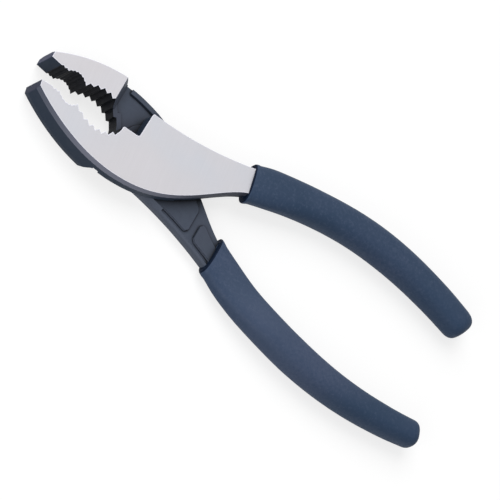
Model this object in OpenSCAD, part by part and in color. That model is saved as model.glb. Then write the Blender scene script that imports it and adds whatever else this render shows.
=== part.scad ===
// Slip joint pliers, eight inch class, lying flat with the polished face up.
// Both halves are one forging, the second turned over about the long axis.
// The origin is where the pivot axis meets the polished front face.
// Jaws point to -X, handles to +X. Outlines are drawn for closed jaws, then
// each half is swung open by half of the opening angle.

/* [Overall] */
// Pivot axis to the jaw tip
jaw_reach = 52.6; // [45:0.5:60]
// Pivot axis to the end of the handle
handle_reach = 152; // [140:1:170]
// Thickness of the jaws
jaw_t = 10; // [8:0.5:12]
// Angle between the two halves as they lie at rest, in degrees
rest_angle = 12; // [8:1:16]
// How far the bevel of the outer edges cuts into the polished faces
bevel_w = 0.5; // [0.3:0.1:0.9]
// How far the bevel of the outer edges runs down the sides
bevel_d = 2.2; // [1.5:0.1:2.4]

/* [Jaw] */
// Depth of the nose at the tip
nose_h = 3.3; // [2.5:0.1:4]
// Pivot axis to the lower edge of the joint
belly_d = 18.6; // [17:0.25:20]
// Distance from the pivot axis to the heel wall
heel_x = 22.8; // [21.5:0.1:24]
// How far the heel wall leans out down to the lap plane
heel_lean = 3.2; // [2:0.1:3.5]
// Fine teeth in the front hollow
fine_teeth = 6; // [4:1:8]
// Coarse teeth in the pipe hollow
coarse_teeth = 7; // [6:1:9]
// Depth of the front hollow
front_sag = 2.3; // [1.5:0.1:3]
// Depth of the pipe hollow
pipe_sag = 4.3; // [3:0.1:5]
// Depth of a coarse tooth
tooth_d = 1.5; // [1:0.1:2]

/* [Joint] */
// Pivot axis to the upper edge of the joint
shoulder_h = 14.4; // [13:0.1:15.5]
// Diameter of the bolt's shank
shank_d = 8; // [7.5:0.1:8.5]
// Width across the two flats of the shank
flats_w = 5.8; // [5.5:0.05:5.85]
// Distance between the two holes of the slip slot
slip = 5.5; // [5.4:0.05:5.6]
// Diameter of the bolt's head and of the washer
head_d = 13; // [12:0.25:14]
// Depth of the track that sinks the head
track_d = 2; // [1.8:0.1:2.2]
// Diameter of the bolt's threaded end
stud_d = 6; // [5:0.25:6.5]

/* [Neck and relief] */
// Pivot axis to the mouth of the grip
mouth_x = 44.5; // [42:0.5:47]
// Height of the neck's middle at the mouth
mouth_y = 12.6; // [11.5:0.1:13.5]
// Width of the steel at the mouth
neck_w = 11.8; // [10.5:0.1:12.5]
// How far the lap side is sunk beside the joint and round the raised panels
relief_d = 0.8; // [0.5:0.1:1]
// Width of the rim left beside the window, and of the ground round the panels
rim_w = 2.1; // [1.6:0.1:2.4]
// Width of the groove between the two raised panels
rib_w = 3.4; // [2.5:0.1:4]

/* [Grip] */
// Width of the grip
grip_w = 14; // [13:0.25:15]
// Thickness of the grip
grip_t = 12; // [11:0.25:13]
// Slope of the handle where it enters the grip
mouth_slope = 20; // [16:1:24]
// Slope of the handle at its end
end_slope = -22; // [-27:1:-18]
// Height of the handle's end above the line of the closed jaws
end_y = 9.6; // [8:0.2:11]
// Vinyl that stands proud of the steel at the mouth
lip = 1; // [0.8:0.1:1.2]

/* [Hidden] */

// Gaps between flat lap faces, round the shank, the washer and the tang
lap_gap = 0.1;
run_gap = 0.05;
nose_gap = 0.1;
skin_gap = 0.05;
overrun = 1;

face_z = 0;
mid_z = face_z - jaw_t / 2;
back_z = face_z - jaw_t;
lap_z = mid_z + lap_gap / 2;
plate_t = face_z - lap_z;
half_angle = rest_angle / 2;

steel = "silver";
black = "dimgray";
vinyl = "midnightblue";

// Point on a cubic curve at share t, and the unit vector along the curve there
function cubic(p, t) =
    pow(1 - t, 3) * p[0] + 3 * pow(1 - t, 2) * t * p[1]
    + 3 * (1 - t) * pow(t, 2) * p[2] + pow(t, 3) * p[3];
function unit(v) = v / norm(v);
function along(p, t) = let (step = 0.001) unit(cubic(p, t + step) - cubic(p, t - step));

// Smooth rise from 0 to 1 while t goes from 0 to the given end
function ramp(t, end) = min(1, max(0, t / end));
function ease(t, end) = let (u = ramp(t, end)) u * u * (3 - 2 * u);

// Whole curve in n steps, without its last point
function curve(p, n) = [for (i = [0 : n - 1]) cubic(p, i / n)];

// Corner b between the edges to a and c, rounded from cut before it to cut after it
function rounded(a, b, c, cut, n) =
    let (before = b + cut * unit(a - b), after = b + cut * unit(c - b))
    [for (i = [0 : n - 1])
        let (t = i / n)
        pow(1 - t, 2) * before + 2 * t * (1 - t) * b + pow(t, 2) * after
    ];

// Sawteeth on a sagging arc from point a to point b, cut below it
function sag_point(a, b, sag, t) = a + (b - a) * t - [0, 4 * sag * t * (1 - t)];
function teeth(a, b, sag, n, depth, lean_share) =
    [for (i = [0 : n - 1]) each [
        sag_point(a, b, sag, i / n),
        sag_point(a, b, sag, (i + lean_share) / n) - [0, depth]
    ]];

// Jaw edge from the tip to the peak over the joint, in shares of the reach
nose_tip = [-jaw_reach, -nose_gap / 2];
nose_end = [-jaw_reach * 0.905, -nose_gap];
cusp_1 = [-jaw_reach * 0.84, -jaw_reach * 0.005];
cusp_2 = [-jaw_reach * 0.673, -jaw_reach * 0.012];
peak_foot = [-jaw_reach * 0.288, -jaw_reach * 0.012];
peak = [-jaw_reach * 0.272, shoulder_h * 0.14];
notch = [-jaw_reach * 0.131, shoulder_h * 0.12];
shoulder = [-jaw_reach * 0.074, shoulder_h];
nose_teeth = 2;
fine_share = 0.3;
lean_share = 0.42;
nose_share = 0.2;
peak_cut = shoulder_h * 0.045;
notch_cut = shoulder_h * 0.09;
shoulder_cut = shoulder_h * 0.13;
corner_steps = 5;

// Upper and lower corners of the neck where the grip starts
mouth_top = [mouth_x, mouth_y + neck_w / 2];
mouth_low = [mouth_x, mouth_y - neck_w / 2];
belly = [-jaw_reach * 0.17, -belly_d];

neck_aim = [jaw_reach * 0.27, shoulder_h * 0.92];
neck_curve = [shoulder + shoulder_cut * unit(neck_aim - shoulder), neck_aim,
    [mouth_x * 0.66, shoulder_h * 1.03], mouth_top];
belly_curve = [mouth_low, [mouth_x * 0.7, mouth_low[1] - neck_w * 0.43],
    [mouth_x * 0.36, -belly_d * 0.965], belly];
jaw_curve = [belly, [-jaw_reach * 0.48, -belly_d * 1.05],
    [-jaw_reach * 0.78, -belly_d * 0.665], [-jaw_reach, -nose_h]];
curve_steps = 24;

// Outline of the polished face with the jaws closed
module face_outline() {
    polygon(concat(
        [nose_tip],
        teeth(nose_end, cusp_1, 0, nose_teeth, tooth_d * nose_share * 2, lean_share),
        teeth(cusp_1, cusp_2, front_sag, fine_teeth, tooth_d * fine_share, lean_share),
        teeth(cusp_2, peak_foot, pipe_sag, coarse_teeth, tooth_d, lean_share),
        [peak_foot],
        rounded(peak_foot, peak, notch, peak_cut, corner_steps),
        rounded(peak, notch, shoulder, notch_cut, corner_steps),
        rounded(notch, shoulder, neck_aim, shoulder_cut, corner_steps),
        curve(neck_curve, curve_steps),
        [mouth_top],
        curve(belly_curve, curve_steps),
        curve(jaw_curve, curve_steps),
        [[-jaw_reach, -nose_h]]
    ));
}

// Forging of full thickness at the jaw, cut back to a plate at the joint and neck
module forging() {
    difference() {
        translate([0, 0, back_z])
            linear_extrude(jaw_t)
                face_outline();
        heel_cut();
    }
}

// Bevels of the outer edges: each cutter is a wedge that follows the curves
slope_w = plate_t * 0.3;
over_share = 0.3;
start_share = -0.08;
end_share = 1.05;
function wedge_ring(p, t, w, d) =
    let (
        here = cubic(p, t),
        way = along(p, t),
        right = [way[1], -way[0]],
        outer = here - w * over_share * right,
        inner = here + w * (1 + over_share) * right,
        high = face_z + d * over_share,
        low = face_z - d * (1 + over_share)
    )
    [[outer[0], outer[1], high], [inner[0], inner[1], high], [outer[0], outer[1], low]];
function wedge_rings(p, w, d) =
    [for (i = [0 : curve_steps - 1]) wedge_ring(p, (i + 0.5) / curve_steps, w, d)];
module wedge(first, last, w, d) {
    skin(concat(
        [wedge_ring(first, start_share, w, d)],
        wedge_rings(first, w, d),
        first == last ? [] : wedge_rings(last, w, d),
        [wedge_ring(last, end_share, w, d)]
    ));
}
module bevels() {
    wedge(neck_curve, neck_curve, bevel_w, bevel_d);
    wedge(belly_curve, jaw_curve, bevel_w, bevel_d);
    translate([0, 0, face_z + back_z])
        mirror([0, 0, 1])
            wedge(jaw_curve, jaw_curve, bevel_w, bevel_d);
    translate([0, 0, face_z + lap_z])
        mirror([0, 0, 1])
            wedge(neck_curve, neck_curve, slope_w, slope_w);
}

// Everything behind the leaning heel wall, below the lap plane
module heel_cut() {
    far = handle_reach;
    rotate([90, 0, 0])
        linear_extrude(2 * far, center = true)
            polygon([
                [-heel_x, back_z - overrun],
                [far, back_z - overrun],
                [far, lap_z],
                [-heel_x + heel_lean, lap_z],
                [-heel_x, back_z]
            ]);
}

// Middle line of the handle from the mouth of the grip to its end
handle_pull = handle_reach * 0.265;
handle_curve = [
    [mouth_x, mouth_y],
    [mouth_x, mouth_y] + handle_pull * [cos(mouth_slope), sin(mouth_slope)],
    [handle_reach, end_y] - handle_pull * [cos(end_slope), sin(end_slope)],
    [handle_reach, end_y]
];
square_share = 0.15;
joggle_share = 0.35;
function slope_at(t) =
    let (way = along(handle_curve, t))
    atan2(way[1], way[0]) * ease(t, square_share);

// Ring of a rounded section across the handle at share t
function ring(t, w, h, z, sides, power) =
    let (p = cubic(handle_curve, t), a = slope_at(t))
    [for (i = [0 : sides - 1])
        let (
            b = 360 * (i + 0.5) / sides,
            c = cos(b),
            s = sin(b),
            u = sign(c) * pow(abs(c), power) * w / 2,
            v = sign(s) * pow(abs(s), power) * h / 2
        )
        [p[0] - u * sin(a), p[1] + u * cos(a), z + v]
    ];

// Closed solid through a list of rings with the same number of points
module skin(rings) {
    m = len(rings[0]);
    n = len(rings);
    side_faces = [for (i = [0 : n - 2], j = [0 : m - 1]) each [
        [i * m + j, (i + 1) * m + j, i * m + (j + 1) % m],
        [i * m + (j + 1) % m, (i + 1) * m + j, (i + 1) * m + (j + 1) % m]
    ]];
    first_cap = [[for (j = [0 : m - 1]) j]];
    last_cap = [[for (j = [0 : m - 1]) n * m - 1 - j]];
    polyhedron([for (r = rings) each r], concat(side_faces, first_cap, last_cap));
}

// Steel tang inside the grip: it shifts to the middle plane and tapers
tang_start_share = -0.004;
tang_end_share = 0.93;
tang_steps = 14;
tang_taper_share = 0.25;
tang_corner_share = 0;
function tang_ring(t, extra) = ring(
    t,
    neck_w * (1 - tang_taper_share * ramp(t, 1)) + 2 * extra,
    plate_t + 2 * extra,
    mid_z + (lap_z + face_z - 2 * mid_z) / 2 * (1 - ease(t, joggle_share)),
    4, tang_corner_share);
module tang(start, end, extra) {
    skin([for (i = [0 : tang_steps]) tang_ring(start + (end - start) * i / tang_steps, extra)]);
}

// Half a forging, polished face up, drawn with the jaws closed
module lever() {
    difference() {
        union() {
            forging();
            tang(tang_start_share, tang_end_share, -skin_gap);
        }
        bevels();
        relief();
    }
}

// Lap side sunk in the window beside the joint and round two raised panels
pad_r = belly_d * 0.6;
wall_x = -heel_x + heel_lean;
ledge = rim_w * 0.15;
run_out = rim_w * 1.4;
ground_x = mouth_x * 0.385;
rib_x = mouth_x * 0.712;
panel_in = rim_w * 1.25;
panel_up = rim_w * 0.3;
panel_r = rim_w * 0.75;
module relief() {
    translate([0, 0, lap_z - overrun])
        linear_extrude(relief_d + overrun) {
            window();
            ground();
        }
}

// From the heel wall to the bearing pad, inside a rim that stops short of the wall
module window() {
    difference() {
        intersection() {
            translate([wall_x + ledge, -2 * belly_d])
                square([-wall_x - ledge, 2 * belly_d]);
            union() {
                offset(delta = -rim_w)
                    face_outline();
                translate([wall_x, -2 * belly_d])
                    square([run_out, 2 * belly_d - pad_r]);
            }
        }
        circle(pad_r, $fn = 64);
    }
}
module ground() {
    difference() {
        translate([ground_x, -2 * belly_d])
            square([mouth_x + overrun - ground_x, 4 * belly_d]);
        offset(r = panel_r)
            offset(delta = -panel_r)
                panels();
    }
}
module panels() {
    difference() {
        translate([0, panel_up])
            offset(delta = -panel_in)
                union() {
                    face_outline();
                    translate(mouth_low)
                        square([4 * rim_w, neck_w]);
                }
        translate([rib_x - rib_w / 2, -2 * belly_d])
            square([rib_w, 4 * belly_d]);
    }
}

// Shank with two flats, used for the bolt and, grown, for its pocket
module flat_shank(d, across, low, high) {
    intersection() {
        translate([0, 0, low])
            cylinder(h = high - low, d = d, $fn = 96);
        translate([-across / 2, -d, low - overrun])
            cube([across, 2 * d, high - low + 2 * overrun]);
    }
}

// Levels of the bolt from the back face up into the blind hole
washer_t = track_d * 0.25;
washer_high = back_z + track_d - run_gap;
washer_low = washer_high - washer_t;
head_t = track_d * 0.65;
head_high = washer_low - run_gap;
head_low = head_high - head_t;
shank_high = lap_z + plate_t * 0.18;
stud_high = lap_z + plate_t * 0.66;
pocket_high = shank_high + run_gap;
hole_high = stud_high + run_gap;
driver_w = head_d * 0.11;
driver_d = head_t * 0.55;

module front_lever() {
    color(steel)
        difference() {
            rotate(half_angle)
                lever();
            rotate(-half_angle)
                flat_shank(shank_d + run_gap, flats_w + run_gap, lap_z - overrun, pocket_high);
            translate([0, 0, lap_z])
                cylinder(h = hole_high - lap_z, d = stud_d + run_gap, $fn = 96);
        }
}

// The second forging turned over, with the slip slot and the track of the head
module back_lever() {
    color(steel)
        rotate(-half_angle)
            translate([0, 0, 2 * mid_z])
                rotate([180, 0, 0])
                    difference() {
                        lever();
                        slip_slot();
                    }
}
module slip_slot() {
    for (y = [0, slip])
        translate([0, y, lap_z - overrun])
            cylinder(h = plate_t + 2 * overrun, d = shank_d + 2 * run_gap, $fn = 96);
    hull()
        for (y = [0, slip])
            translate([0, y, face_z - track_d])
                cylinder(h = track_d + overrun, d = head_d + 2 * run_gap, $fn = 96);
}

module pivot_bolt() {
    color(black)
        rotate(-half_angle)
            difference() {
                union() {
                    translate([0, 0, head_low])
                        cylinder(h = head_t, d = head_d, $fn = 96);
                    flat_shank(shank_d, flats_w, head_low + head_t / 2, shank_high);
                    translate([0, 0, shank_high - overrun / 2])
                        cylinder(h = stud_high - shank_high + overrun / 2, d = stud_d, $fn = 96);
                }
                translate([-head_d, -driver_w / 2, head_low - overrun])
                    cube([2 * head_d, driver_w, driver_d + overrun]);
            }
}

module thrust_washer() {
    color("gray")
        difference() {
            translate([0, 0, washer_low])
                cylinder(h = washer_t, d = head_d, $fn = 96);
            translate([0, 0, washer_low - overrun])
                cylinder(h = washer_t + 2 * overrun, d = shank_d + 2 * run_gap, $fn = 96);
        }
}

// Dipped vinyl sleeve with a lip at its mouth and a rounded end
grip_sides = 28;
grip_corner_share = 0.78;
grip_steps = 30;
lip_share = 0.012;
cap_start_share = 0.94;
cap_close_share = 0.93;
cap_rings = 5;
bead_end_share = lip_share * 1.5;
bead_foot_share = lip_share * 1.8;
wall_w = neck_w + 4.8 * lip;
lip_bead = lip * 0.35;
function cap_scale(t) =
    let (past = max(0, t - cap_start_share) / (1 - cap_start_share))
    sqrt(1 - cap_close_share * pow(past, 2));
function bead_at(t) = t < bead_end_share ? lip_bead : 0;
function grip_ring(t) =
    let (
        k = ease(t, joggle_share),
        mouth_h = plate_t + 3 * lip,
        w = wall_w + (grip_w - wall_w) * k,
        h = mouth_h + (grip_t - mouth_h) * k,
        mouth_mid = face_z + lip - mouth_h / 2,
        z = mouth_mid + (mid_z - mouth_mid) * k
    )
    ring(t, w * cap_scale(t) + 2 * bead_at(t), h * cap_scale(t), z, grip_sides, grip_corner_share);
grip_stations = concat(
    [0, lip_share, bead_foot_share],
    [for (i = [1 : grip_steps]) cap_start_share * i / grip_steps],
    [for (i = [1 : cap_rings]) cap_start_share + (1 - cap_start_share) * sin(90 * i / cap_rings)]
);
module grip() {
    difference() {
        skin([for (t = grip_stations) grip_ring(t)]);
        tang(2 * tang_start_share, tang_end_share - tang_start_share, skin_gap);
    }
}
module front_grip() {
    color(vinyl)
        rotate(half_angle)
            grip();
}
module back_grip() {
    color(vinyl)
        rotate(-half_angle)
            translate([0, 0, 2 * mid_z])
                rotate([180, 0, 0])
                    grip();
}

front_lever();
back_lever();
pivot_bolt();
thrust_washer();
front_grip();
back_grip();
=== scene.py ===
# Slip joint pliers: the finish of the forged levers, the bolt and the dipped grips.
import math

import bmesh
import bpy
from mathutils import Matrix, Vector, noise


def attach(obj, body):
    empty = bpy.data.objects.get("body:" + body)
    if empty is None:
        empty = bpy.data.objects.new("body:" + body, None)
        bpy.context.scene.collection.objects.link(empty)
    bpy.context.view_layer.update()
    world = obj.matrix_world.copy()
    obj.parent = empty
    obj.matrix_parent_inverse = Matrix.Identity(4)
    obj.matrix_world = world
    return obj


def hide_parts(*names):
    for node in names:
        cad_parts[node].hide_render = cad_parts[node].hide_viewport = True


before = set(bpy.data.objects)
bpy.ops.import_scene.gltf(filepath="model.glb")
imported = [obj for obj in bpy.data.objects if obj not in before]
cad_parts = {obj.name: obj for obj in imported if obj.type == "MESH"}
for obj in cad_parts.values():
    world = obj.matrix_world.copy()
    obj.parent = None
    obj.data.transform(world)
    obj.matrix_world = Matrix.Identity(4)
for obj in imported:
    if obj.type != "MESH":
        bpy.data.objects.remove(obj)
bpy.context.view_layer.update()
MM = 0.001

# Sizes that the solids also have, in metres, and shares of the handle's curve
HALF_OPEN = math.radians(6)
JAW_T = 10 * MM
FACE_Z = 0.0
MID_Z = FACE_Z - JAW_T / 2
BACK_Z = FACE_Z - JAW_T
PLATE_T = 4.95 * MM
BEVEL_D = 2.2 * MM
JAW_REACH = 52.6 * MM
MOUTH = Vector((44.5, 12.6)) * MM
NECK_W = 11.8 * MM
HANDLE_END = Vector((152, 9.6)) * MM
MOUTH_SLOPE = math.radians(20)
END_SLOPE = math.radians(-22)
PULL = HANDLE_END.x * 0.265
GRIP_W = 14 * MM
GRIP_T = 12 * MM
LIP = 1 * MM
SQUARE_SHARE = 0.15
JOGGLE_SHARE = 0.35
CAP_START = 0.94

# Where the finish of a lever changes: along the tool, with the jaws closed
TEETH_FROM = -JAW_REACH + 4.8 * MM
TEETH_TO = -13.5 * MM
TEETH_BACK = -1.0 * MM
TEETH_FALL = 0.28
NOSE_TO = -JAW_REACH + 0.2 * MM
# Start of the painted light on the back lever's outer neck side
LIT_SIDE_FROM = 6 * MM
PANEL_FROM = 17 * MM

# Where it changes with the slope: the upward part of the face's normal
FLAT_UP = 0.8
LAP_UP = 0.9
STEEP_UP = 0.5
BEVEL_UP = (0.15, 0.42)
OUTWARD = -0.4

# Tolerances and reaches of the masks
NEAR = 0.1 * MM
BEVEL_SLACK = 0.2 * MM
FACE_EDGE = 0.55 * MM
PANEL_EDGE = 0.5 * MM
BEVEL_LINE = 0.3 * MM
CORNER_SHADE_REACH = 0.8 * MM
CONTACT_SHADOW_REACH = 8 * MM
STEEL_ROUNDING = 0.22 * MM
BOLT_ROUNDING = 0.2 * MM

# Shader levels
STEEL_METALLIC = 0.4
BOLT_METALLIC = 0.9
STEEL_SPECULAR = 0.15
VINYL_SPECULAR = 0.2
LIP_SHADE_SPECULAR = 0.03
LIP_SHADE_COVER = 0.93
RIM_SHADE_COVER = 0.9
SHADED_BAND_COVER = 0.75
ROUGH_SPREAD = 0.15

# Colours, as linear values
POLISHED = (0.56, 0.55, 0.58)
POLISHED_WARM = (0.55, 0.53, 0.545)
POLISHED_COOL = (0.53, 0.545, 0.59)
# Painted highlight along the rounded edges of the ground faces
POLISHED_RIM_HIGHLIGHT = (0.78, 0.79, 0.88)
OXIDE = (0.050, 0.062, 0.090)
OXIDE_PALE = (0.062, 0.076, 0.106)
OXIDE_WARM = (0.056, 0.062, 0.088)
# Painted shade: a darker copy of the oxide for the steep side walls
OXIDE_SIDE_SHADED = (0.022, 0.033, 0.054)
# Painted shade on the front lever's nose end face, painted light on the back lever's
SHADED_NOSE_OXIDE = (0.030, 0.037, 0.064)
LIT_NOSE_BACK_OXIDE = (0.052, 0.060, 0.106)
# Painted light on the back lever's outer neck side
NECK_OXIDE_LIT = (0.078, 0.092, 0.126)
# Painted light: the bevel strip on the face side, paler than the side walls
BEVEL = (0.185, 0.195, 0.25)
# Painted highlight where the bevel meets the side wall
BEVEL_EDGE_HIGHLIGHT = (0.20, 0.21, 0.26)
# Painted shade for corners, panel rims and the front lever's neck walls
CREASE_SHADE = (0.016, 0.020, 0.034)
# Black oxide of the tooth flanks, darkened further as painted shade
TOOTH_OXIDE_AND_SHADE = (0.004, 0.005, 0.008)
SPRING = (0.3, 0.3, 0.31)
SPRING_PALE = (0.45, 0.45, 0.46)
NAVY = (0.032, 0.055, 0.105)
NAVY_DARK = (0.020, 0.042, 0.084)
NAVY_VIOLET = (0.046, 0.064, 0.116)
# Painted light along the middle of the back sleeve
NAVY_LIT = (0.070, 0.094, 0.160)
SPECK = (0.072, 0.098, 0.160)
# Painted shade on the cut end face at each sleeve's mouth
LIP_SHADE = (0.005, 0.010, 0.024)
WHITE = (1, 1, 1, 1)


def add(tree, kind, **values):
    """A new node with its properties and inputs set by name."""
    node = tree.nodes.new(kind)
    for key, value in values.items():
        if hasattr(node, key):
            setattr(node, key, value)
        else:
            node.inputs[key].default_value = value
    return node


def feed(tree, value, socket):
    """Links an input to an output socket, or sets its number or colour."""
    if hasattr(value, "links"):
        tree.links.new(value, socket)
    elif isinstance(value, tuple):
        socket.default_value = (*value, 1)
    else:
        socket.default_value = value


def node_material(name):
    """A new material that holds its shader and output alone."""
    mat = bpy.data.materials.new(name)
    mat.use_nodes = True
    tree = mat.node_tree
    return mat, tree, tree.nodes["Principled BSDF"]


def ramp(tree, source, stops):
    """A grey ramp fed by a socket, with stops of (place, grey)."""
    node = tree.nodes.new("ShaderNodeValToRGB")
    tree.links.new(source, node.inputs[0])
    while len(node.color_ramp.elements) < len(stops):
        node.color_ramp.elements.new(0.5)
    for element, (place, grey) in zip(node.color_ramp.elements, stops):
        element.position = place
        element.color = (grey, grey, grey, 1)
    return node.outputs[0]


def mix(tree, factor, a, b, blend="MIX"):
    """A colour mix of two sockets or colours."""
    node = add(tree, "ShaderNodeMix", data_type="RGBA", blend_type=blend)
    for value, socket in ((factor, node.inputs[0]), (a, node.inputs[6]), (b, node.inputs[7])):
        feed(tree, value, socket)
    return node.outputs[2]


def maths(tree, operation, *values):
    """A maths node on sockets or numbers."""
    node = add(tree, "ShaderNodeMath", operation=operation)
    for value, socket in zip(values, node.inputs):
        feed(tree, value, socket)
    return node.outputs[0]


def product(tree, first, *others):
    """The product of sockets and numbers."""
    for other in others:
        first = maths(tree, "MULTIPLY", first, other)
    return first


def above(tree, value, low):
    """1 where the value is greater than a number."""
    return maths(tree, "GREATER_THAN", value, low)


def below(tree, value, high):
    """1 where the value is less than a number."""
    return maths(tree, "LESS_THAN", value, high)


def between(tree, value, low, high):
    """1 where the value lies between two numbers."""
    return product(tree, above(tree, value, low), below(tree, value, high))


def split(tree, socket):
    """The x, y and z of a vector socket."""
    node = add(tree, "ShaderNodeSeparateXYZ")
    tree.links.new(socket, node.inputs[0])
    return node.outputs


def noise_of(tree, place, scale, detail, stretch=(1, 1, 1), rough=0.5):
    """Noise that rides with the piece, stretched along the axes."""
    mapping = add(tree, "ShaderNodeMapping", Scale=stretch)
    tree.links.new(place, mapping.inputs["Vector"])
    node = add(tree, "ShaderNodeTexNoise", Scale=scale, Detail=detail, Roughness=rough)
    tree.links.new(mapping.outputs[0], node.inputs["Vector"])
    return node.outputs["Fac"]


def own_place(tree):
    """Coordinates that ride with the piece, the same as the row frame at rest."""
    return add(tree, "ShaderNodeTexCoord").outputs["Object"]


def own_normal(tree):
    """The flat normal of the face, in coordinates that ride with the piece."""
    node = add(tree, "ShaderNodeVectorTransform", vector_type="NORMAL",
               convert_from="WORLD", convert_to="OBJECT")
    tree.links.new(add(tree, "ShaderNodeNewGeometry").outputs["True Normal"], node.inputs[0])
    return node.outputs[0]


def edge_mask(tree, radius):
    """Rises from 0 to 1 towards an edge that a bevel of this radius would round."""
    soft = add(tree, "ShaderNodeBevel", samples=8, Radius=radius)
    dot = add(tree, "ShaderNodeVectorMath", operation="DOT_PRODUCT")
    tree.links.new(soft.outputs[0], dot.inputs[0])
    tree.links.new(add(tree, "ShaderNodeNewGeometry").outputs["True Normal"], dot.inputs[1])
    return ramp(tree, dot.outputs["Value"], [(0.9, 1.0), (0.995, 0.0)])


def add_bump(tree, shader, height, strength, distance, rounding=0.0):
    """Fine relief on the shader, over edges rounded by a radius."""
    bump = add(tree, "ShaderNodeBump", Strength=strength, Distance=distance)
    tree.links.new(height, bump.inputs["Height"])
    if rounding:
        rounded = add(tree, "ShaderNodeBevel", samples=6, Radius=rounding)
        tree.links.new(rounded.outputs[0], bump.inputs["Normal"])
    tree.links.new(bump.outputs[0], shader.inputs["Normal"])


def polished_colour(tree, place, grain):
    """Ground steel with slow shifts of tone, a fine grain and edges painted pale as a highlight.
    """
    tint = noise_of(tree, place, 22, 2)
    blotch = noise_of(tree, place, 38, 2)
    tone = mix(tree, ramp(tree, tint, [(0.35, 0.0), (0.65, 1.0)]), POLISHED_COOL, POLISHED_WARM)
    tone = mix(tree, ramp(tree, blotch, [(0.3, 0.0), (0.7, 1.0)]), tone, POLISHED)
    tone = mix(tree, 1.0, tone, ramp(tree, grain, [(0.3, 0.96), (0.7, 1.0)]), "MULTIPLY")
    return mix(tree, edge_mask(tree, FACE_EDGE), tone, POLISHED_RIM_HIGHLIGHT)


def oxide_colour(tree, place, scale, panel):
    """Black oxide on flat ground, with painted shade in corners, round the panels and near the
    other half.
    """
    cloud = noise_of(tree, place, 70, 3)
    tone = mix(tree, ramp(tree, scale, [(0.3, 0.0), (0.75, 1.0)]), OXIDE, OXIDE_PALE)
    tone = mix(tree, ramp(tree, cloud, [(0.45, 0.0), (0.7, 0.7)]), tone, OXIDE_WARM)
    # Painted shade in the corners of the relief, from occlusion within the piece
    corner = add(tree, "ShaderNodeAmbientOcclusion", samples=8, only_local=True,
                 Distance=CORNER_SHADE_REACH)
    corner_shade = ramp(tree, corner.outputs["AO"], [(0.6, 1.0), (0.95, 0.0)])
    tone = mix(tree, corner_shade, tone, CREASE_SHADE)
    # Painted shade as dark lines round the raised panels
    rim_shade_line = product(tree, panel, edge_mask(tree, PANEL_EDGE), RIM_SHADE_COVER)
    tone = mix(tree, rim_shade_line, tone, CREASE_SHADE)
    # Painted shadow near the other half and the other parts, from occlusion
    contact_ao = add(tree, "ShaderNodeAmbientOcclusion", samples=16, Distance=CONTACT_SHADOW_REACH)
    contact_shadow = ramp(tree, contact_ao.outputs["AO"], [(0.5, 0.12), (0.74, 0.75), (0.95, 1.0)])
    return mix(tree, 1.0, tone, contact_shadow, "MULTIPLY")


def drawn_place(tree, place, front):
    """Place on the lever as drawn with closed jaws: u along the tool, v towards the handle."""
    turn = add(tree, "ShaderNodeMapping", Rotation=(0, 0, -HALF_OPEN if front else HALF_OPEN))
    tree.links.new(place, turn.inputs["Vector"])
    u, v = split(tree, turn.outputs[0])[:2]
    return u, v if front else product(tree, v, -1.0)


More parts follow.
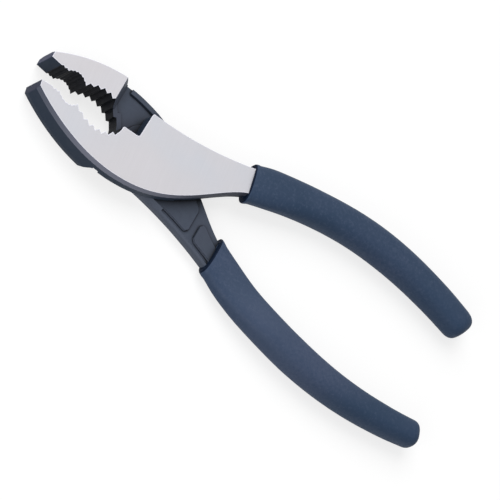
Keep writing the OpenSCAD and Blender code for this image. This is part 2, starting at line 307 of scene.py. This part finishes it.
def lever_material(name, front):
    """Ground faces with a fine grain, black oxide on the sides and in the relief, with painted
    light and shade on walls, bevels, noses and teeth.
    """
    mat, tree, shader = node_material(name)
    place = own_place(tree)
    z = split(tree, place)[2]
    u, v = drawn_place(tree, place, front)
    facing = split(tree, own_normal(tree))
    up = maths(tree, "ABSOLUTE", facing[2])
    from_mid = maths(tree, "ABSOLUTE", maths(tree, "SUBTRACT", z, MID_Z))
    from_tip = maths(tree, "ADD", u, JAW_REACH)

    face = product(tree, above(tree, from_mid, JAW_T / 2 - NEAR), above(tree, up, FLAT_UP))
    steep = below(tree, up, STEEP_UP)
    behind = maths(tree, "ADD", v, product(tree, from_tip, TEETH_FALL))
    in_jaw = between(tree, u, TEETH_FROM, TEETH_TO)
    tooth = product(tree, above(tree, behind, TEETH_BACK), in_jaw, steep)
    beside_face = above(tree, from_mid, JAW_T / 2 - BEVEL_D - BEVEL_SLACK)
    # Only the face side's bevel strip gets the painted light
    own_side = above(tree, z, MID_Z) if front else below(tree, z, MID_Z)
    bevel = product(tree, between(tree, up, *BEVEL_UP), beside_face, own_side)
    side = product(tree, steep, maths(tree, "SUBTRACT", 1.0, bevel))
    nose = product(tree, steep, below(tree, u, NOSE_TO))
    panel = product(tree, above(tree, up, LAP_UP), below(tree, from_mid, NEAR),
                    above(tree, u, PANEL_FROM))

    grain = noise_of(tree, place, 2600, 2, (1, 0.02, 1))
    scale = noise_of(tree, place, 420, 4)
    polished = polished_colour(tree, place, grain)
    oxide = oxide_colour(tree, place, scale, panel)
    if front:
        # On the front lever the side walls and bevel strip darken from the neck on: painted
        # shade
        on_neck = ramp(tree, product(tree, u, 1 / MOUTH.x), [(0.3, 0.0), (0.62, 1.0)])
        shaded_band = product(tree, on_neck, SHADED_BAND_COVER)
        walls = mix(tree, shaded_band, OXIDE_SIDE_SHADED, CREASE_SHADE)
        strip = mix(tree, shaded_band, BEVEL, CREASE_SHADE)
    else:
        # The back lever's outer neck side and its slopes are painted paler as light
        lit_outer_side = product(tree, below(tree, facing[1], OUTWARD), above(tree, u, LIT_SIDE_FROM))
        walls = mix(tree, lit_outer_side, OXIDE_SIDE_SHADED, NECK_OXIDE_LIT)
        strip = mix(tree, lit_outer_side, BEVEL, NECK_OXIDE_LIT)
        lit_outer_slope = product(tree, lit_outer_side, between(tree, up, STEEP_UP, LAP_UP))
        oxide = mix(tree, lit_outer_slope, oxide, NECK_OXIDE_LIT)
    # Steep side walls take their own colour: painted shade, and painted light on the back neck's
    # outer side
    oxide = mix(tree, side, oxide, walls)
    # Nose end faces: painted shade on the front lever, painted light on the back
    oxide = mix(tree, nose, oxide, SHADED_NOSE_OXIDE if front else LIT_NOSE_BACK_OXIDE)
    # The bevel strip is painted paler as light, fading out towards the nose
    bevel_lit_share = ramp(tree, product(tree, from_tip, 1 / JAW_REACH), [(0.05, 0.25), (0.5, 1.0)])
    oxide = mix(tree, product(tree, bevel, bevel_lit_share), oxide, strip)
    # A painted highlight along the bevel's edge
    oxide = mix(tree, product(tree, bevel, edge_mask(tree, BEVEL_LINE)), oxide, BEVEL_EDGE_HIGHLIGHT)
    # Tooth flanks: black oxide with painted shade between the teeth
    oxide = mix(tree, tooth, oxide, TOOTH_OXIDE_AND_SHADE)
    tree.links.new(mix(tree, face, oxide, polished), shader.inputs["Base Color"])

    rough_face = ramp(tree, grain, [(0.3, 0.48), (0.7, 0.56)])
    rough_oxide = ramp(tree, scale, [(0.3, 0.48), (0.7, 0.62)])
    tree.links.new(mix(tree, face, rough_oxide, rough_face), shader.inputs["Roughness"])
    tree.links.new(product(tree, face, STEEL_METALLIC), shader.inputs["Metallic"])
    shader.inputs["Specular IOR Level"].default_value = STEEL_SPECULAR
    add_bump(tree, shader, mix(tree, face, scale, grain), 0.22, 0.02 * MM, STEEL_ROUNDING)
    return mat


def vinyl_material(name, shaded_lip):
    """Dipped vinyl: fine orange peel, dull sheen and slow shifts of tone, with painted light
    along the back sleeve. The lip variant paints the mouth's end face dark as shade.
    """
    mat, tree, shader = node_material(name)
    place = own_place(tree)
    slow = noise_of(tree, place, 30, 3)
    band = noise_of(tree, place, 14, 2)
    mottle = noise_of(tree, place, 800, 3, rough=0.7)
    fine = noise_of(tree, place, 1500, 3)
    tone = mix(tree, ramp(tree, slow, [(0.35, 0.0), (0.65, 1.0)]), NAVY_DARK, NAVY)
    tone = mix(tree, ramp(tree, band, [(0.5, 0.0), (0.75, 0.8)]), tone, NAVY_VIOLET)
    tone = mix(tree, ramp(tree, mottle, [(0.3, 0.7), (0.5, 0.0)]), tone, NAVY_DARK)
    tone = mix(tree, ramp(tree, mottle, [(0.52, 0.0), (0.75, 0.42)]), tone, SPECK)
    x, y = split(tree, place)[:2]
    along = product(tree, x, 1 / HANDLE_END.x)
    # Painted light along the middle of the back sleeve
    pale = ramp(tree, along, [(0.3, 0.1), (0.45, 0.42), (0.85, 0.0)])
    on_back = below(tree, y, 0.0)
    tone = mix(tree, product(tree, on_back, pale), tone, NAVY_LIT)
    tone = mix(tree, ramp(tree, along, [(0.72, 0.0), (1.0, 0.6)]), tone, NAVY_DARK)
    # The lip's end face is painted dark as shade
    if shaded_lip:
        tone = mix(tree, LIP_SHADE_COVER, tone, LIP_SHADE)
    tree.links.new(tone, shader.inputs["Base Color"])
    tree.links.new(ramp(tree, fine, [(0.3, 0.5), (0.7, 0.62)]), shader.inputs["Roughness"])
    shader.inputs["Specular IOR Level"].default_value = LIP_SHADE_SPECULAR if shaded_lip else VINYL_SPECULAR
    add_bump(tree, shader, mottle, 0.4, 0.1 * MM)
    return mat


def bolt_material(name, colour, pale, rough):
    """Turned steel with rings of fine machining marks about the pivot axis."""
    mat, tree, shader = node_material(name)
    place = own_place(tree)
    wave = add(tree, "ShaderNodeTexWave", wave_type="RINGS", rings_direction="Z",
               Scale=900.0, Distortion=1.5)
    tree.links.new(place, wave.inputs["Vector"])
    speck = noise_of(tree, place, 400, 4)
    tone = mix(tree, ramp(tree, speck, [(0.3, 0.0), (0.7, 1.0)]), colour, pale)
    tree.links.new(tone, shader.inputs["Base Color"])
    roughness = ramp(tree, speck, [(0.3, rough), (0.7, rough + ROUGH_SPREAD)])
    tree.links.new(roughness, shader.inputs["Roughness"])
    shader.inputs["Metallic"].default_value = BOLT_METALLIC
    add_bump(tree, shader, wave.outputs["Fac"], 0.2, 0.03 * MM, BOLT_ROUNDING)
    return mat


def cubic(points, t):
    """Point on a cubic curve at share t."""
    a, b, c, d = points
    return a * (1 - t) ** 3 + b * 3 * t * (1 - t) ** 2 + c * 3 * t * t * (1 - t) + d * t ** 3


def aim(angle):
    """Unit vector at an angle."""
    return Vector((math.cos(angle), math.sin(angle)))


def ease(t, share):
    """Smooth rise from 0 to 1 while t goes from 0 to the share."""
    u = min(1.0, max(0.0, t / share))
    return u * u * (3 - 2 * u)


HANDLE = (MOUTH, MOUTH + aim(MOUTH_SLOPE) * PULL, HANDLE_END - aim(END_SLOPE) * PULL, HANDLE_END)

# Each sleeve: the shares of the curve at which it starts, begins to narrow and ends, how much it
# narrows, how far its end slants, and its lean off the curve before that is eased in and out
FRONT_FORM = {"start": -0.006, "narrow_from": 0.58, "narrow": 0.13, "end": 0.994,
              "slant": 0.45 * MM, "lean": -0.35 * MM}
BACK_FORM = {"start": -0.011, "narrow_from": 0.42, "narrow": 0.26, "end": 0.976,
             "slant": 0.2 * MM, "lean": 1.0 * MM}
LEAN_IN = 0.22
LEAN_OUT = 0.55

# The bead at a mouth: shares of the curve before the start is shifted, and stand-off in mm
BEAD = ((0.0, -2.0), (0.0, -0.12), (0.0012, 0.0), (0.003, 0.25), (0.007, 0.32), (0.011, 0.26),
        (0.016, 0.06))
BEAD_END = 0.02
SIDES = 72
BODY_RINGS = 150
CAP_RINGS = 22
SHADED_LIP_RINGS = 3
ROUNDNESS = 0.78
BLUNT = 2 / 3.2
SMALLEST_CAP = 0.03
MOUTH_H = PLATE_T + 3 * LIP
MOUTH_W = NECK_W + 4.8 * LIP
NARROW_POWER = 1.2
THINNING = 0.6
SLANT_MARGIN = 0.05
SKIN_DEPTH = 0.06 * MM
SKIN_WAVES = ((90, 0.05), (320, 0.015))


def handle_slope(t):
    """Angle of the handle at share t, square to the tool at the mouth."""
    step = 0.001
    way = cubic(HANDLE, t + step) - cubic(HANDLE, t - step)
    return math.atan2(way.y, way.x) * ease(t, SQUARE_SHARE)


def grip_section(t, grow, cap, form):
    """Ring of the sleeve at share t, stood off by grow and drawn in by the share cap."""
    k = ease(t, JOGGLE_SHARE)
    past = max(0.0, t - form["narrow_from"]) / (1 - form["narrow_from"])
    slim = 1 - form["narrow"] * past ** NARROW_POWER
    w = (MOUTH_W + (GRIP_W - MOUTH_W) * k) * slim * cap
    h = (MOUTH_H + (GRIP_T - MOUTH_H) * k) * (1 - (1 - slim) * THINNING) * cap
    mouth_mid = FACE_Z + LIP - MOUTH_H / 2
    z = mouth_mid + (MID_Z - mouth_mid) * k
    slope = handle_slope(t)
    ahead = aim(slope)
    across = Vector((-ahead.y, ahead.x))
    middle = cubic(HANDLE, t)
    middle += across * form["lean"] * ease(t, LEAN_IN) * (1 - ease(t, LEAN_OUT))
    reach = form["slant"] * max(0.0, t - CAP_START) / (1 - CAP_START)
    ring = []
    for i in range(SIDES):
        turned = 2 * math.pi * (i + 0.5) / SIDES
        c, s = math.cos(turned), math.sin(turned)
        u = math.copysign(abs(c) ** ROUNDNESS, c) * (w / 2 + grow)
        v = math.copysign(abs(s) ** ROUNDNESS, s) * (h / 2 + min(grow, 0.0))
        flat = middle + across * u + ahead * reach * u / (w / 2 + GRIP_W * SLANT_MARGIN)
        ring.append(Vector((flat.x, flat.y, z + v)))
    return ring


def grip_stations(form):
    """Shares of the curve with their stand-off in mm and the share that the cap leaves."""
    start = form["start"]
    stations = [(t + start * (1 - t / BEAD_END), grow, 1.0) for t, grow in BEAD]
    length = CAP_START - BEAD_END
    stations += [(BEAD_END + length * i / BODY_RINGS, 0.0, 1.0) for i in range(BODY_RINGS + 1)]
    for i in range(1, CAP_RINGS + 1):
        turned = math.pi / 2 * i / CAP_RINGS
        t = CAP_START + (form["end"] - CAP_START) * math.sin(turned) ** BLUNT
        stations.append((t, 0.0, max(SMALLEST_CAP, math.cos(turned)) ** BLUNT))
    return stations


def mesh_object(name, verts, faces, smooth):
    """A mesh object in the scene, with its normals pointing out."""
    mesh = bpy.data.meshes.new(name)
    mesh.from_pydata([tuple(v) for v in verts], [], faces)
    mesh.update()
    obj = bpy.data.objects.new(name, mesh)
    bpy.context.scene.collection.objects.link(obj)
    bm = bmesh.new()
    bm.from_mesh(mesh)
    bmesh.ops.recalc_face_normals(bm, faces=bm.faces)
    bm.to_mesh(mesh)
    bm.free()
    for poly in mesh.polygons:
        poly.use_smooth = smooth
    return obj


def make_grip(name, front):
    """The dipped sleeve: flat cut mouth with a bead, fine uneven skin, rounded end."""
    form = FRONT_FORM if front else BACK_FORM
    stations = grip_stations(form)
    verts = []
    for t, grow, cap in stations:
        centre = cubic(HANDLE, t)
        for v in grip_section(t, grow * MM, cap, form):
            wave = sum(noise.noise(v * scale) * height * MM for scale, height in SKIN_WAVES)
            out = Vector((v.x - centre.x, v.y - centre.y, v.z - MID_Z))
            if t == form["start"]:
                out.x = 0.0
            verts.append(v + out.normalized() * (wave - SKIN_DEPTH))
    faces = []
    for r in range(0, (len(stations) - 1) * SIDES, SIDES):
        for i in range(SIDES):
            j = (i + 1) % SIDES
            faces.append((r + i, r + j, r + SIDES + j, r + SIDES + i))
    faces.append(tuple(range(SIDES)))
    faces.append(tuple(range(len(verts) - SIDES, len(verts))))
    turn = Matrix.Rotation(HALF_OPEN, 4, "Z")
    if not front:
        over = Matrix.Translation((0, 0, 2 * MID_Z)) @ Matrix.Rotation(math.pi, 4, "X")
        turn = Matrix.Rotation(-HALF_OPEN, 4, "Z") @ over
    sleeve = mesh_object(name, [turn @ v for v in verts], faces, smooth=True)
    # The mouth's end face takes the lip material, painted dark as shade
    for k, poly in enumerate(sleeve.data.polygons[:SIDES * SHADED_LIP_RINGS]):
        poly.material_index = 1
        poly.use_smooth = k >= SIDES
    return sleeve


def dress(node_name, material):
    """Puts a material on a CAD node."""
    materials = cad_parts[node_name].data.materials
    materials.clear()
    materials.append(material)


dress("front_lever", lever_material("front_steel", True))
dress("back_lever", lever_material("back_steel", False))
dress("pivot_bolt", bolt_material("bolt_steel", OXIDE, OXIDE_PALE, 0.35))
dress("thrust_washer", bolt_material("washer_steel", SPRING, SPRING_PALE, 0.3))

vinyl = vinyl_material("dipped_vinyl", False)
lip_shade_vinyl = vinyl_material("lip_shade_vinyl", True)
for side, body in (("front", "front_half"), ("back", "back_half")):
    sleeve = make_grip(side + "_sleeve", side == "front")
    sleeve.data.materials.append(vinyl)
    sleeve.data.materials.append(lip_shade_vinyl)
    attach(sleeve, body)
    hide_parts(side + "_grip")

# Floor and world: a white picture without more light on the object
FLOOR_REACH = 3.0
FLOOR_BOUNCE = (0.34, 0.34, 0.34)
FLOOR_SEEN = (0.30, 0.30, 0.30)
FLOOR_GLOW = 0.74
WORLD_LIGHT = 0.3


def seen_directly(tree):
    """1 for rays from the camera and for reflections, 0 for the light that the object gets."""
    path = add(tree, "ShaderNodeLightPath").outputs
    seen = maths(tree, "MAXIMUM", path["Is Camera Ray"], path["Is Glossy Ray"])
    return maths(tree, "MAXIMUM", seen, path["Is Transmission Ray"])


def make_floor():
    """Plain pale floor that reads as white paper and keeps a faint shadow."""
    low = MID_Z - GRIP_T / 2
    corners = ((-1, -1), (1, -1), (1, 1), (-1, 1))
    verts = [Vector((x * FLOOR_REACH, y * FLOOR_REACH, low)) for x, y in corners]
    floor = mesh_object("floor", verts, [(0, 1, 2, 3)], smooth=False)
    mat, tree, shader = node_material("pale_floor")
    shader.inputs["Roughness"].default_value = 0.9
    shader.inputs["Specular IOR Level"].default_value = 0.0
    seen = seen_directly(tree)
    tree.links.new(mix(tree, seen, FLOOR_BOUNCE, FLOOR_SEEN), shader.inputs["Base Color"])
    shader.inputs["Emission Color"].default_value = WHITE
    tree.links.new(product(tree, seen, FLOOR_GLOW), shader.inputs["Emission Strength"])
    floor.data.materials.append(mat)


def make_world():
    """White where it is seen directly or reflected, and a soft light otherwise."""
    world = bpy.data.worlds.new("studio")
    bpy.context.scene.world = world
    world.use_nodes = True
    sky = world.node_tree
    shader = sky.nodes["Background"]
    shader.inputs["Color"].default_value = WHITE
    strength = maths(sky, "MULTIPLY_ADD", seen_directly(sky), 1 - WORLD_LIGHT, WORLD_LIGHT)
    sky.links.new(strength, shader.inputs["Strength"])


LIGHT_TARGET = Vector((0.04, 0, 0))


def light(name, place, size, power):
    """A soft rectangular lamp aimed at the tool."""
    data = bpy.data.lights.new(name, "AREA")
    data.shape = "RECTANGLE"
    data.size, data.size_y = size
    data.energy = power
    lamp = bpy.data.objects.new(name, data)
    bpy.context.scene.collection.objects.link(lamp)
    lamp.location = place
    way = LIGHT_TARGET - Vector(place)
    lamp.rotation_euler = way.to_track_quat("-Z", "Y").to_euler()


make_floor()
light("key", place=(-0.45, 0.75, 1.2), size=(1.6, 1.6), power=19)
light("fill", place=(-0.5, -0.9, 0.45), size=(1.2, 0.8), power=7)
make_world()

# Camera: the photograph's axes of the picture, in the row frame
RIGHT = Vector((0.736, 0.327, 0.592))
DOWN = Vector((0.574, -0.766, -0.291))
PX_PER_M = 2703.0
ORIGIN_PX = Vector((236.76, 235.92))
FRAME_PX = 500
FIT_ORIGIN = Vector((50 * MM, 0, BACK_Z))
DISTANCE = 5.0
SENSOR_MM = 36.0
CLIP_END = 50


def make_camera():
    """A long lens at the photograph's angle, so the picture is nearly parallel."""
    right = RIGHT.normalized()
    down = (DOWN - right * DOWN.dot(right)).normalized()
    ahead = right.cross(down).normalized()
    middle = Vector((FRAME_PX / 2, FRAME_PX / 2)) - ORIGIN_PX
    centre = FIT_ORIGIN + (right * middle.x + down * middle.y) / PX_PER_M
    data = bpy.data.cameras.new("camera")
    data.sensor_width = SENSOR_MM
    data.lens = SENSOR_MM * DISTANCE / (FRAME_PX / PX_PER_M)
    data.clip_end = CLIP_END
    camera = bpy.data.objects.new("camera", data)
    bpy.context.scene.collection.objects.link(camera)
    turn = Matrix((right, -down, -ahead)).transposed().to_4x4()
    camera.matrix_world = Matrix.Translation(centre - ahead * DISTANCE) @ turn
    bpy.context.scene.camera = camera


make_camera()
bpy.context.scene.view_settings.view_transform = "Standard"
